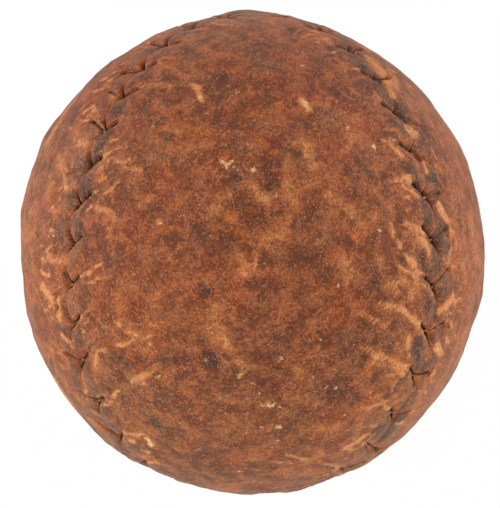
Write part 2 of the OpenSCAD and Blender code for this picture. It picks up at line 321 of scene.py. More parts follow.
# Dark ones are greyish and a little sunk
DULL = (
    (188, 45, 215, 88, 4.8, .5), (238, 40, 266, 68, 4.4, .56), (210, 108, 262, 132, 4.0, .36),
    (163, 163, 185, 180, 2.5, .36), (306, 216, 320, 234, 2.8, .26), (268, 252, 300, 274, 3.4, .36),
    (340, 320, 350, 345, 3.2, .26), (250, 300, 274, 345, 3.6, .5), (166, 305, 178, 360, 2.6, .3),
    (332, 72, 350, 100, 2.6, .3), (217, 78, 222, 92, 2.2, .8), (199, 59, 205, 66, 1.4, .7),
    (232, 64, 225, 75, 1.2, .6), (180, 32, 196, 32, 1.0, 1.), (119, 107, 121, 113, 1.2, 1.),
    (97, 149, 105, 140, 1.3, 1.), (150, 118, 157, 122, 1.2, .8), (82, 161, 84, 170, 1.2, .7),
    (168, 163, 172, 167, 1.6, .5), (85, 184, 91, 196, 1.3, .8), (72, 195, 74, 206, .9, .6),
    (78, 221, 80, 233, 1.3, .8), (235, 142, 246, 150, 2.1, .6), (226, 124, 230, 126, 1.4, .5),
    (183, 117, 186, 119, .8, .6), (142, 134, 145, 137, .9, .5), (323, 50, 330, 60, 2.0, .6),
    (311, 45, 318, 66, 1.6, .5), (333, 87, 336, 93, 1.2, .7), (270, 72, 275, 60, 1.3, .6),
    (262, 81, 272, 95, 1.6, .7), (278, 85, 285, 90, .9, .5), (326, 112, 328, 114, 1.1, 1.),
    (305, 118, 317, 123, 1.0, .7), (350, 51, 358, 67, 1.1, 1.), (380, 84, 387, 99, 1.0, 1.),
    (400, 107, 407, 119, 1.1, 1.), (358, 94, 363, 96, 1.2, .5), (362, 160, 365, 175, 1.3, .5),
    (348, 180, 352, 188, 1.2, .5), (289, 149, 298, 155, 1.0, .6), (301, 218, 304, 222, 1.1, 1.),
    (310, 208, 320, 212, 1.2, .5), (270, 179, 274, 186, 1.2, .9), (262, 164, 268, 170, 1.2, .6),
    (408, 164, 419, 183, 1.3, .9), (424, 199, 430, 223, 1.3, 1.), (432, 179, 437, 196, 1.1, .9),
    (442, 226, 443, 250, 1.2, 1.), (419, 156, 424, 147, 1.0, .6), (411, 141, 414, 145, .8, .6),
    (423, 227, 427, 236, .9, .8), (300, 245, 310, 255, 1.8, .6), (275, 250, 280, 265, 1.5, .6),
    (320, 235, 310, 228, 1.2, .5), (201, 284, 207, 292, 1.3, .9), (145, 308, 150, 312, 1.2, .6),
    (82, 304, 83, 313, 1.2, .9), (80, 340, 90, 350, 1.2, .8), (108, 355, 125, 365, 2.1, .75),
    (110, 340, 118, 336, .9, .7), (126, 364, 132, 380, 2.0, .66), (150, 400, 158, 403, 1.2, .7),
    (152, 421, 160, 428, 1.4, .9), (182, 337, 184, 341, 1.0, .6), (210, 358, 217, 364, 1.3, 1.),
    (216, 360, 228, 370, 1.9, .5), (250, 375, 256, 380, 1.4, .7), (170, 370, 174, 374, 1.0, .5),
    (95, 385, 105, 392, 1.4, .7), (109, 411, 118, 423, 1.4, .7), (135, 445, 143, 453, 1.1, .6),
    (425, 260, 430, 271, 1.3, 1.), (446, 274, 442, 291, 1.2, .9), (430, 299, 435, 316, 1.2, .9),
    (417, 339, 422, 363, 1.4, 1.), (438, 324, 440, 341, 1.0, .7), (402, 375, 400, 391, 1.0, .7),
    (409, 388, 404, 402, 1.0, .8), (376, 432, 387, 423, 1.3, 1.), (370, 411, 366, 419, .9, .7),
    (335, 392, 350, 398, 2.0, .6), (325, 405, 345, 410, 1.5, .5), (372, 262, 375, 290, 1.3, .6),
    (364, 299, 367, 303, 1.2, .5), (390, 340, 370, 330, 1.0, .6), (299, 345, 308, 350, 1.4, .6),
    (335, 350, 345, 360, 1.6, .4), (270, 315, 278, 345, 1.8, .45), (225, 470, 235, 475, 1.2, .6),
    (180, 455, 215, 460, 1.2, .5), (340, 460, 365, 452, .8, .6), (402, 268, 398, 256, .7, .6),
    (402, 330, 392, 320, .8, .6), (392, 372, 380, 364, .9, .6), (428, 180, 424, 190, .8, .6),
    (241, 178, 260, 190, 2.8, .7), (159, 150, 174, 161, 2.6, .62), (180, 386, 196, 384, 2.4, .48),
    (138, 404, 152, 418, 2.3, .55), (70, 298, 79, 314, 1.8, .55), (136, 266, 148, 280, 2.4, .48),
    (180, 313, 188, 325, 2.1, .46), (146, 298, 156, 306, 1.8, .44), (168, 342, 176, 376, 2.1, .44),
    (198, 170, 208, 180, 2.2, .42), (238, 410, 246, 420, 2.1, .42), (98, 326, 108, 336, 1.8, .6),
    (92, 368, 102, 378, 1.6, .5), (86, 336, 94, 344, 1.4, .5), (150, 72, 164, 88, 2.0, .5),
    (168, 120, 178, 130, 1.8, .4), (188, 70, 204, 86, 2.4, .5), (140, 252, 152, 262, 1.8, .45),
    (116, 286, 126, 296, 1.6, .42),
)
# Lumps of the outline: degrees round the picture from the right, height and half width
LUMPS = ((92, 0.38, 5.0), (60, -0.85, 10.0), (36, -0.45, 8.0), (47, -0.12, 4.0), (76, -0.5, 6.0),
         (105, -0.6, 6.0), (122, -0.33, 6.0), (136, -0.54, 5.0), (152, 0.65, 6.0),
         (181, -0.9, 6.0), (210, -0.35, 6.0), (222, -0.15, 6.0), (240, -0.12, 5.0),
         (272, 0.05, 9.0), (252, -0.25, 7.0), (300, 0.18, 5.0), (330, 0.15, 8.0), (347, 0.5, 8.0),
         (3, 0.1, 8.0))
# The leather by the seam, in mm: how deep the valley along it and the rolled edge are and how
# high the pillows; how deep a stitch's groove, dip and hole are; and the deepest of it all
VALLEY, ROLL, PILLOW = 0.2, 0.06, 0.19
GROOVE, DIP, PIT = 0.42, 0.26, 0.5
DEEPEST = -1.05
# The pit round an open slit: how deep, and its half sizes along the seam and into each panel
SLIT_PIT, SLIT_PIT_L, SLIT_PIT_X = 0.3, 1.3, (0.26, 0.4)
# How high streaks, wrinkles, the pillows' rims and the middle and side folds behind a hole
# stand, and how deep dull patches lie, in mm
LIFT, WRINKLE, RIM, MIDDLE_FOLD, SIDE_FOLD, SINK = 0.2, 0.14, 0.06, 0.2, 0.13, 0.1
# Half width of the groove and of the shade painted in it, wider on the right of the photographed
# lobe
GROOVE_HALF, GROOVE_HALF_RIGHT = 0.25, 0.32
# How far from its point, along the seam and into the panel, a stitch shapes the leather
REACH_ALONG, REACH_ACROSS = 12, 14
# Folds behind each hole, and how far wrinkles lean for each mm from the seam
PUCKERS = 5
LEAN = 0.42


def frayed(n, reach):
    """Places on the ball, in mm, moved about by waves so that streaks get ragged rims."""
    shift = np.stack([waves(n, 5.0, 70 + j) + 0.45 * waves(n, 1.9, 80 + j) for j in range(3)],
                     axis=-1)
    return n * HALF_SIZES + reach * shift


def streaks(place, table):
    """How strongly each of the streaks marks a place, the strongest kept, and how high the
    narrow ones lift it."""
    mark, lift = np.zeros(len(place)), np.zeros(len(place))
    for x0, y0, x1, y1, width, strength in table:
        first, last = seen_at([x0, x1], [y0, y1]) * HALF_SIZES
        run = last - first
        t = np.clip((place - first) @ run / (run @ run), 0, 1)
        shape = bell(np.linalg.norm(place - first - t[:, None] * run, axis=1), width)
        mark = np.maximum(mark, strength * shape)
        lift = np.maximum(lift, strength * shape / (0.6 + width))
    return mark, lift


def wrinkles(own, x, seed):
    """Ridges, from 0 to 1, that run away from the seam and lean towards the lobe's closed
    end: sines along the seam, whole numbers of them round it, drawn sideways with x."""
    r = np.random.default_rng(seed)
    leaned = own + LEAN * np.sin(4 * np.pi * own / SEAM_L) * (x - 2.5)
    total = np.zeros(len(own))
    for count in r.integers(90, 250, 16):
        total += np.sin(2 * np.pi * (leaned * count / SEAM_L + x / r.uniform(-9, 9) + r.random()))
    return np.clip(total / 3.6, 0, 1) ** 1.3


def folds(fan, panel, out, back):
    """Each fold that fans out behind a stitch's hole: its height in mm, and its shape from 0
    to 1 at places that lie out from the hole and back from it. A fold is a ridge along a
    leaning line, which rises within a mm, thins out over its length, widens and snakes."""
    for j in range(PUCKERS):
        turn, more = fan[j, 0] - 0.5, fan[j, 1]
        if panel == 0:
            lean = math.radians(-22 + 26 * (j - 2) + 16 * turn)
            length = 3.2 + 5.5 * more * (1.0 if j in (1, 2) else 0.5)
        else:
            lean = math.radians(38 * (j - 2) + 24 * turn)
            length = 2.4 + 3.4 * more
        size = (MIDDLE_FOLD if j == 2 else SIDE_FOLD) * (0.45 + 0.75 * fan[j, 2])
        along = out * math.cos(lean) + back * math.sin(lean)
        off = back * math.cos(lean) - out * math.sin(lean)
        off = off + 0.25 * np.sin(along * 1.1 + 6.28 * fan[j, 3])
        yield size, (step_up(along, 0.15, 1.0) * np.clip(1 - along / length, 0, 1) ** 0.7
                     * bell(off, 0.28 + 0.07 * np.maximum(along, 0)))


def relief(own, u, x, across_seam, n, panel):
    """The leather's height over the ball, in mm, and four masks for its finish: worn
    ridges, pressed pillows, shade painted into the grooves, slits and holes, and dull patches.
    x is measured from the panel's edge and across_seam from the seam's course. Each stitch
    pulls a groove with soft shoulders from its hole to its point, a wide dip about it and a pit
    at the hole, and raises folds behind the hole; between stitches the leather stands up in a
    pillow; wrinkles, waves of many lengths, streaks and lumps go on top."""
    height = np.zeros(len(u))
    worn = np.zeros(len(u))
    dark = np.zeros(len(u))
    free = np.ones(len(u))
    draw = np.random.default_rng(11 + panel)
    hole_x, apex = HOLE_X[panel], APEX * (1 if panel == 0 else -1)
    for k in range(STITCHES):
        fan = draw.random((PUCKERS, 4))
        v = past_point(u, k)
        near = np.nonzero((np.abs(v) < REACH_ALONG) & (x < REACH_ACROSS))[0]
        v, across = v[near], across_seam[near]
        hole_v, plain = -HOLE_BACK[panel, k], ARM[panel, k]
        deep = hole_x - apex
        t = np.clip((v * hole_v + (across - apex) * deep) / (hole_v ** 2 + deep ** 2), 0, 1)
        arm = np.hypot(v - t * hole_v, across - apex - t * deep)
        right = panel == 0 and k < STITCHES_A_SIDE
        slim = GROOVE_HALF_RIGHT if right else GROOVE_HALF
        hole = np.hypot(v - hole_v, across - hole_x)
        slit = np.hypot((v - SLIT_AT[k]) / SLIT_PIT_L, x[near] / SLIT_PIT_X[panel])
        free[near] *= 1 - 0.96 * (0.3 + 0.7 * plain) * bell(arm, 1.0)
        height[near] += (plain * (0.1 * bell(arm - 0.62, 0.28) - GROOVE * bell(arm, slim - 0.04)
                                  - DIP * bell(arm, 1.0))
                         - PIT * plain * bell(hole, 0.36) - SLIT_PIT * bell(slit, 1.0))
        # Painted shade: the groove, the slit's pit and the hole are coloured dark where they lie in
        # shade
        groove_shade = np.maximum(plain * bell(arm, slim), plateau(slit, 0.7))
        groove_shade = np.maximum(groove_shade, plain * plateau(hole, 0.38))
        dark[near] = np.maximum(dark[near], groove_shade)
        worn[near] = np.maximum(worn[near], 0.5 * fan[0, 1] * bell(arm - 0.7, 0.28))
        for size, shape in folds(fan, panel, across - hole_x, v - hole_v):
            height[near] += size * shape
            worn[near] = np.maximum(worn[near], shape * size / MIDDLE_FOLD)
    share, gap = opening(u)
    pillow = free * bell(x - 1.5, 1.5)
    height += (PILLOW * free * bell(x - 1.7, 1.25) - VALLEY * bell(x, 3.2)
               - (ROLL + 0.3 * share) * bell(x - gap, 0.4))
    # The rim of the pillow, rubbed where it stands over the rest of the panel
    rim = free * bell(x - 3.9 - 0.6 * waves(n, 7, 41), 0.4) * step_up(waves(n, 8, 42), 0.1, 1.4)
    height += RIM * rim
    worn = np.maximum(worn, 0.6 * rim)
    ridge = wrinkles(own, x, 61 + panel) * step_up(x, 2.4, 4.0) * (1 - step_up(x, 5.0, 12.5))
    ridge = ridge * step_up(waves(n, 18, 43), -0.9, 1.1)
    height += WRINKLE * ridge
    worn = np.maximum(worn, 0.8 * ridge)
    # The cut edge shows pale where the slit opens
    pale = (1.2 if panel == 0 else 0.5) * share * bell(x - gap - 0.12, 0.16)
    worn = np.maximum(worn, pale * step_up(waves(n, 6, 44), -0.9, 0.5))

    rubbed, lift = streaks(frayed(n, 0.16), RUBBED)
    dull, sink = streaks(frayed(n, 0.32), DULL)
    height += LIFT * lift - SINK * sink
    for degrees, size, width in LUMPS:
        turn = math.radians(degrees)
        way = unit(PICTURE_RIGHT * math.cos(turn) + PICTURE_UP * math.sin(turn)
                   + TO_CAMERA * ROUND / DISTANCE)
        height += size * bell(np.degrees(np.arccos(np.clip(n @ way, -1, 1))), width)
    calm = 0.5 + 0.5 * step_up(x, 1.0, 6.0)
    height += calm * (0.1 * waves(n, 15, 21) + 0.05 * waves(n, 6, 22) + 0.03 * waves(n, 2.6, 23))
    return np.maximum(height, DEEPEST), np.maximum(worn, rubbed), pillow, dark, dull


# ---------------------------------------------------------------- meshes


def make_mesh(name, points, quads, triangles, solid):
    """One piece from its points in mm and its faces, smooth all over, in place of a solid."""
    mesh = bpy.data.meshes.new(name)
    mesh.vertices.add(len(points))
    mesh.vertices.foreach_set("co", (points * MM).astype(np.float32).ravel())
    loops = np.concatenate([quads.ravel(), triangles.ravel()]).astype(np.int32)
    sizes = np.concatenate([np.full(len(quads), 4), np.full(len(triangles), 3)]).astype(np.int32)
    mesh.loops.add(len(loops))
    mesh.loops.foreach_set("vertex_index", loops)
    mesh.polygons.add(len(sizes))
    starts = np.concatenate([[0], np.cumsum(sizes)[:-1]]).astype(np.int32)
    mesh.polygons.foreach_set("loop_start", starts)
    mesh.polygons.foreach_set("use_smooth", np.ones(len(sizes), bool))
    mesh.update(calc_edges=True)
    mesh.validate()
    piece = bpy.data.objects.new(name, mesh)
    bpy.context.scene.collection.objects.link(piece)
    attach(piece, "root")
    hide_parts(solid)
    return piece


def paint(piece, **masks):
    """Masks kept with the mesh, one number to each of its points."""
    for name, values in masks.items():
        layer = piece.data.attributes.new(name, "FLOAT", "POINT")
        layer.data.foreach_set("value", values.astype(np.float32))


COLUMNS = 2400
# Rows of a panel, in mm from its edge: fine ones, then even ones as far as BAND, then shares
# of the way to the spine
FINE_ROWS = (0, .1, .22, .36, .52, .7, .88, 1.06, 1.26, 1.46, 1.66, 1.86, 2.06, 2.26, 2.48, 2.7,
             2.95, 3.2, 3.5, 3.85, 4.25)
BAND = 9.0
BAND_ROWS = 9
MIDDLE_ROWS = 34
LINING_ROWS = 5
# Degrees from the first panel's waist to the middle of its lobe's far end, along the spine
SPINE_TURN = 104.0
# What a row of points belongs to
LINING, CUT_EDGE, OUTSIDE = 0.0, 0.5, 1.0


def spine(a):
    """The line that halves a panel lengthwise, as directions, for an angle of the seam: it
    runs from one lobe's middle through the waist to the other's."""
    folded = np.abs(np.degrees(a))
    far = folded > 90
    share = np.where(far, 180 - folded, folded) / 90
    turn = np.radians(SPINE_TURN * (1 - share ** 1.5)) * np.where(far, -1, 1)
    return np.stack([np.zeros_like(turn), -np.cos(turn), np.sin(turn)], axis=-1)


def between(n0, n1, t):
    """A direction that turns evenly from n0 to n1."""
    angle = np.arccos(np.clip((n0 * n1).sum(-1), -1, 1))
    s = np.sin(angle)
    return (np.sin((1 - t) * angle) / s)[..., None] * n0 + (np.sin(t * angle) / s)[..., None] * n1


def panel_mesh(name, panel, solid):
    """One figure-eight panel as rings that follow its edge: the lining from the spine to the
    edge, the cut edge, and the outside from the edge back to the spine. Rings near the edge
    have all the columns and the others half or a quarter of them. Both outer rings close on
    the spine, where a column meets its mirror image."""
    own = wrap(SEAM_L * np.arange(COLUMNS) / COLUMNS)
    u = own if panel == 0 else wrap(SEAM_L / 4 - own)
    gap = opening(u)[1]
    side = 1 if panel == 0 else -1
    start, pull = side * course(u), side * pulled(u)
    inner = beside_seam(own, start + gap + BAND)
    middle = spine(seam_angle(own))
    width = ROUND * np.arccos(np.clip((inner * middle).sum(-1), -1, 1))
    rings = []

    def ring(step, level, x=None, t=None):
        """One ring of every step-th column, at x from the edge or a share t of the way from
        the band to the spine, where it shuts."""
        c = slice(None, None, step)
        if t is None:
            across = gap[c] + x + pull[c] * (1 - step_up(x, 0.0, PULL_FADES))
            directions, from_edge = beside_seam(own[c], start[c] + across), gap[c] + x
        else:
            across = from_edge = gap[c] + BAND + t * width[c]
            directions = between(inner[c], middle[c], t)
        rings.append((directions, own[c], u[c], from_edge, across, level, t == 1))

    for row in range(LINING_ROWS, 0, -1):
        ring(4, LINING, t=row / LINING_ROWS)
    for step, x in ((4, BAND), (2, 4.0), (1, 0.25), (1, 0.0)):
        ring(step, LINING, x)
    ring(1, CUT_EDGE, 0.0)
    for x in FINE_ROWS:
        ring(1, OUTSIDE, x)
    for row in range(1, BAND_ROWS + 1):
        ring(2, OUTSIDE, FINE_ROWS[-1] + (BAND - FINE_ROWS[-1]) * row / BAND_ROWS)
    for row in range(1, MIDDLE_ROWS + 1):
        ring(4, OUTSIDE, t=row / MIDDLE_ROWS)

    directions, places, index, count = [], [], [], 0
    for ways, *lengths, layer, shut in rings:
        size = len(ways)
        kept = size // 2 + 1 if shut else size
        column = np.arange(size)
        index.append(count + (np.minimum(column, size - column) if shut else column))
        count += kept
        directions.append(ways[:kept])
        places.append(np.stack([*(length[:kept] for length in lengths), np.full(kept, layer)]))
    n = np.concatenate(directions)
    if panel == 1:
        n = to_second_panel(n)
    home, along, from_edge, across, layer = np.concatenate(places, axis=1)
    height, worn, pillow, dark, dull = relief(home, along, from_edge, across, n, panel)
    open_share, half = opening(along)
    rounding = (0.03 + 0.1 * open_share) * bell(from_edge - half, 0.1)
    level = np.where(layer == OUTSIDE, np.maximum(height - rounding, DEEPEST - 0.1),
                     np.where(layer == CUT_EDGE, (height - LEATHER_T) / 2 - 0.12, -LEATHER_T))

    quads, triangles = [], []
    for a, b in zip(index[:-1], index[1:]):
        a1, b1 = np.roll(a, -1), np.roll(b, -1)
        if len(a) == len(b):
            quads.append(np.stack([a, b, b1, a1], axis=-1))
        elif len(b) > len(a):
            low, mid, high = b[0::2], b[1::2], np.roll(b[0::2], -1)
            faces = (a, low, mid), (a, mid, a1), (a1, mid, high)
            triangles += [np.stack(face, axis=-1) for face in faces]
        else:
            low, mid, high = a[0::2], a[1::2], np.roll(a[0::2], -1)
            faces = (low, b, mid), (mid, b, b1), (mid, b1, high)
            triangles += [np.stack(face, axis=-1) for face in faces]
    piece = make_mesh(name, on_ball(n, level[:, None]), np.concatenate(quads),
                      np.concatenate(triangles), solid)
    # The lining and the cut edge are painted fully shaded
    inside = layer < OUTSIDE
    paint(piece, worn=np.where(inside, 0, worn), pillow=np.where(inside, 0, pillow),
          dark=np.where(inside, 1, dark), dull=np.where(inside, 0, dull))
    return piece


def smooth_path(points, steps):
    """A curve through the points, each piece a cubic that takes its slopes from the
    neighbouring points."""
    padded = np.concatenate([2 * points[:1] - points[1:2], points, 2 * points[-1:] - points[-2:-1]])
    t = np.arange(steps)[:, None] / steps
    p0, p1, p2, p3 = (padded[j:len(padded) - 3 + j, None] for j in range(4))
    curve = 0.5 * (2 * p1 + (p2 - p0) * t + (2 * p0 - 5 * p1 + 4 * p2 - p3) * t ** 2
                   + (3 * p1 - p0 - 3 * p2 + p3) * t ** 3)
    return np.concatenate([curve.reshape(-1, 3), points[-1:]])


THREAD_R = 0.2
THREAD_SIDES = 8
TWIST_L = 1.1
# How deep the thread's middle lies, in mm below the ball: under the leather, in the hole, in
# the groove, at the stitch's point, in the slit, and under the other panel
UNDER, IN_HOLE, IN_GROOVE, AT_POINT, IN_SLIT, BEYOND = 2.0, 0.98, 0.88, 0.98, 1.5, 2.1


def thread_mesh(name, hand, solid):
    """One waxed thread: from its middle at the lobe's closed end it runs down both sides of
    the seam, up through a hole, along the groove, down the slit and under the other panel to
    the next hole. A round section with three twisted bulges, for the strands, follows it."""
    # Six places to a stitch: along the seam from its point, across the seam's course and deep
    halves = []
    for first, way in ((0, 1), (STITCHES_A_SIDE, -1)):
        path = []
        for j in range(STITCHES_A_SIDE):
            k = first + j
            side = hand if j % 2 == 0 else -hand
            panel = 0 if side > 0 else 1
            back, out = HOLE_BACK[panel, k], side * HOLE_X[panel]
            dive = 0.1 if hand > 0 else 0.5
            for v, x, depth in ((-back, out, UNDER), (-back, out, IN_HOLE),
                                (-back * 0.5 + dive * 0.4, (out + APEX) * 0.52, IN_GROOVE),
                                (dive - 0.1, APEX + side * 0.18, AT_POINT),
                                (dive + 0.25, APEX - 0.1, IN_SLIT),
                                (dive + 1.2, APEX - 0.4 - side * 1.2, BEYOND)):
                u = np.array([POINTS[k] + way * v])
                path.append(on_ball(beside_seam(u, course(u) + x)[0], -depth))
        halves.append(path[:-1])
    points = smooth_path(np.array(halves[1][::-1] + halves[0]), 5)
    ways = unit(np.gradient(points, axis=0))
    ups = np.empty_like(ways)
    up = np.array([0.0, 1.0, 1.0])
    for j, way in enumerate(ways):
        up = unit(up - way * (up @ way))
        ups[j] = up
    run = np.concatenate([[0], np.cumsum(np.linalg.norm(np.diff(points, axis=0), axis=1))])
    angle = 2 * np.pi * np.arange(THREAD_SIDES) / THREAD_SIDES
    bulge = THREAD_R * (1 + 0.1 * np.cos(3 * angle[None] + 2 * np.pi * run[:, None] / TWIST_L))
    shell = (points[:, None] + bulge[..., None] * (np.cos(angle)[None, :, None] * ups[:, None]
             + np.sin(angle)[None, :, None] * np.cross(ways, ups)[:, None]))
    rings = len(points)
    grid = np.arange(rings * THREAD_SIDES).reshape(rings, THREAD_SIDES)
    turned = np.roll(grid, -1, axis=1)
    quads = np.stack([grid[:-1], turned[:-1], turned[1:], grid[1:]], axis=-1).reshape(-1, 4)
    tips = rings * THREAD_SIDES + np.array([0, 1])
    triangles = np.concatenate([
        np.stack([np.full(THREAD_SIDES, tips[0]), turned[0], grid[0]], axis=-1),
        np.stack([np.full(THREAD_SIDES, tips[1]), grid[-1], turned[-1]], axis=-1)])
    every = np.concatenate([shell.reshape(-1, 3), points[:1], points[-1:]])
    return make_mesh(name, every, quads, triangles, solid)


# The cotton winding's outer and inner size, how high its turns stand, in mm, how many ways
# they run, and how close they lie, as the waves in a radian
COTTON_OUTER, COTTON_INNER, COTTON_TURN = 34.95, 32.15, 0.12
COTTON_WAYS = 7
COTTON_WAVES = 92


def winding_mesh(name, solid):
    """The cotton winding as a closed shell: inside, a plain ball; outside, turns of thread
    that cross, the highest of several families of fine ridges at each place."""
    across, down = 300, 150
    lon = 2 * np.pi * np.arange(across) / across
    lat = (np.pi * np.arange(1, down) / down)[:, None]
    n = np.stack(np.broadcast_arrays(np.sin(lat) * np.cos(lon), np.sin(lat) * np.sin(lon),
                                     np.cos(lat)), axis=-1).reshape(-1, 3)
    n = np.concatenate([n, [[0, 0, 1], [0, 0, -1]]])
    r = np.random.default_rng(31)
    turns = np.full(len(n), -1.0)
    for axis in unit(r.standard_normal((COTTON_WAYS, 3))):
        tilt = np.arcsin(np.clip(n @ axis, -1, 1))
        turns = np.maximum(turns, 0.5 * np.cos(tilt * COTTON_WAVES) + 0.9 * bell(tilt, 0.35) - 0.4)
    outer = on_ball(n, (COTTON_OUTER - ROUND + COTTON_TURN * turns)[:, None])
    inner = n * COTTON_INNER
    grid = np.arange((down - 1) * across).reshape(down - 1, across)
    turned = np.roll(grid, -1, axis=1)
    quads = np.stack([grid[:-1], grid[1:], turned[1:], turned[:-1]], axis=-1).reshape(-1, 4)
    top, foot = len(n) - 2, len(n) - 1
    caps = np.concatenate([
        np.stack([np.full(across, top), grid[0], turned[0]], axis=-1),
        np.stack([np.full(across, foot), turned[-1], grid[-1]], axis=-1)])
    every = np.concatenate([outer, inner])
    both_quads = np.concatenate([quads, quads[:, ::-1] + len(n)])
    both_caps = np.concatenate([caps, caps[:, ::-1] + len(n)])
    return make_mesh(name, every, both_quads, both_caps, solid)


# ---------------------------------------------------------------- shaders


def colour(code):
    """A colour written as on a paint card, as the numbers that light uses."""
    parts = [int(code[j:j + 2], 16) / 255 for j in (0, 2, 4)]
    return [c / 12.92 if c <= 0.04045 else ((c + 0.055) / 1.055) ** 2.4 for c in parts]


class Flow:
    """A socket in a material or in the world, with the sums that build on it. Colours are
    written as on a paint card wherever a node takes one."""

    def __init__(self, tree, socket=None):
        self.tree, self.socket = tree, socket

    def node(self, kind, settings=None, out=0, **inputs):
        """A new node, by its settings and then the values or links of its inputs, which go by
        their names, or by i and their number. The answer is one of its outputs."""
        node = self.tree.nodes.new("ShaderNode" + kind)
        for key, value in (settings or {}).items():
            if key == "stops":
                ramp = node.color_ramp
                while len(ramp.elements) < len(value):
                    ramp.elements.new(0.5)
                for element, (at, card) in zip(ramp.elements, value):
                    element.position, element.color = at, (*colour(card), 1)
            else:
                setattr(node, key, value)
        for key, value in inputs.items():
            numbered = key[0] == "i" and key[1:].isdigit()
            socket = node.inputs[int(key[1:]) if numbered else key.replace("_", " ")]
            if isinstance(value, Flow):
                self.tree.links.new(value.socket, socket)
            elif socket.type == "RGBA":
                socket.default_value = (*(colour(value) if isinstance(value, str) else value), 1)
            else:
                socket.default_value = value
        return Flow(self.tree, node.outputs[out])

    def maths(self, operation, *values):
        return self.node("Math", {"operation": operation},
                         **{f"i{j}": value for j, value in enumerate(values)})

    def __add__(self, other):
        return self.maths("ADD", self, other)

    def __sub__(self, other):
        return self.maths("SUBTRACT", self, other)

    def __rsub__(self, other):
        return self.maths("SUBTRACT", other, self)

    def __mul__(self, other):
        return self.maths("MULTIPLY", self, other)

    __radd__, __rmul__ = __add__, __mul__

    def highest(self, other):
        return self.maths("MAXIMUM", self, other)

    def spread(self, gain):
        """The swing about a half, times a gain."""
        return (self - 0.5) * gain

    def rise(self, low, high):
        """0 below low, 1 above high and smooth between."""
        return self.node("MapRange", {"interpolation_type": "SMOOTHSTEP"},
                         Value=self, From_Min=low, From_Max=high)

    def vector(self, operation, *values, out=0, **inputs):
        return self.node("VectorMath", {"operation": operation}, out,
                         **{f"i{j}": value for j, value in enumerate(values)}, **inputs)

    def mix(self, other, share, blend="MIX"):
        """This colour mixed with another by a share."""
        return self.node("Mix", {"data_type": "RGBA", "blend_type": blend}, 2,
                         i0=share, i6=self, i7=other)


def material(name, build, **shader):
    """A material whose shader sockets get plain numbers, then whatever build links to them
    from a start and from places on the piece in mm."""
    made = bpy.data.materials.new(name)
    made.use_nodes = True
    tree = made.node_tree
    bsdf = next(n for n in tree.nodes if n.type == "BSDF_PRINCIPLED")
    for key, value in shader.items():
        bsdf.inputs[key.replace("_", " ")].default_value = value
    start = Flow(tree)
    mm = start.vector("SCALE", start.node("TexCoord", out="Object"), Scale=1 / MM)
    for key, value in build(start, mm).items():
        tree.links.new(value.socket, bsdf.inputs[key])
    return made


def noise(start, mm, size, detail, roughness, distortion, seed):
    """Noise whose patches are about one size across, in mm, moved aside by its seed."""
    moved = start.vector("ADD", mm, (seed, 2 * seed, -seed))
    return start.node("TexNoise", Vector=moved, Scale=1.0 / size, Detail=detail,
                      Roughness=roughness, Distortion=distortion)


def bump(start, height, depth):
    """Height from 0 to 1 raised by a depth in mm."""
    return start.node("Bump", Height=height, Strength=1.0, Distance=depth * MM)


# Small cream flakes and scuffs, each at a pixel of the picture, with its half width in mm
CREAM = (
    (154, 128, .26), (52.7, 235.8, .3), (348, 126.4, .25), (374.8, 147.5, .3), (252.4, 169.4, .24),
    (254.5, 169, .18), (267.8, 124, .2), (338.3, 285.6, .2), (271.9, 293, .18),
    (379.7, 231.8, .28), (205.8, 359.3, .2), (307, 105, .4), (308.5, 108, .34), (306, 102, .3),
    (303.5, 107, .18), (300, 65.6, .18), (302, 66, .16), (221, 161.5, .24), (223.5, 163.5, .26),
    (226, 165, .28), (228.5, 163.5, .28), (231, 161.2, .34), (227, 168, .2), (222, 167, .16),
    (234, 167.5, .16), (237.5, 168.8, .18), (241, 167, .14), (219, 164, .15), (199.5, 97, .24),
    (200, 99.5, .18), (236.6, 92.4, .2), (206, 113.5, .18), (138, 380.6, .18), (141, 381, .26),
    (143.5, 381.6, .3), (146, 382, .22), (158, 376, .28), (147.5, 438.5, .34), (149.8, 441, .46),
    (152, 443, .52), (153.5, 445.5, .36), (280, 357, .2), (281, 360, .24), (279, 363, .18),
    (268.5, 405, .26), (271, 404.6, .3), (274, 403.8, .26), (260, 390, .28), (260, 393, .2),
    (279, 408, .24), (278, 427, .24), (279.5, 427.5, .2), (278, 441, .24), (261, 428, .22),
    (238, 376, .2), (240.5, 375, .24), (149.5, 337, .2), (149.8, 343, .22), (197, 450, .22),
    (320, 340, .16), (119, 322, .22), (355, 51, .26), (353, 49, .2), (310, 358.5, .16),
    (313, 358, .18), (317, 357, .14), (321, 355.5, .16), (253, 384, .2), (326, 387, .18),
    (336, 387, .22), (312, 378.5, .2), (223, 299, .2), (240, 472, .24), (242, 473, .2),
    (291, 463.5, .22), (284, 462.5, .18), (66.5, 188, .2), (392, 281, .2), (440, 211, .2),
    (412, 132, .2), (436.5, 350, .26), (148, 332, .16), (254, 245, .18), (257, 265, .2),
    (276, 195, .22), (160, 221.5, .22), (132, 172, .2),
)


def marks(start, mm, places, soft):
    """A mask that is 1 within each of the marks and falls to 0 over a share of its width."""
    px, py, sizes = np.array(places).T
    return reduce(Flow.highest, [
        start.vector("DISTANCE", mm, tuple(centre), out="Value").rise(
            size * (1 + soft), size * (1 - soft))
        for centre, size in zip(seen_at(px, py) * HALF_SIZES, sizes)])


def shaken(start, mm, size, reach, seed):
    """Places shifted a little by noise, so that what is measured from them has ragged rims."""
    moved = start.vector("ADD", mm, (seed, seed, seed))
    shift = start.node("TexNoise", out="Color", Vector=moved, Scale=1.0 / size, Detail=3.0)
    centred = start.vector("SUBTRACT", shift, (0.5, 0.5, 0.5))
    return start.vector("ADD", mm, start.vector("SCALE", centred, Scale=2 * reach))


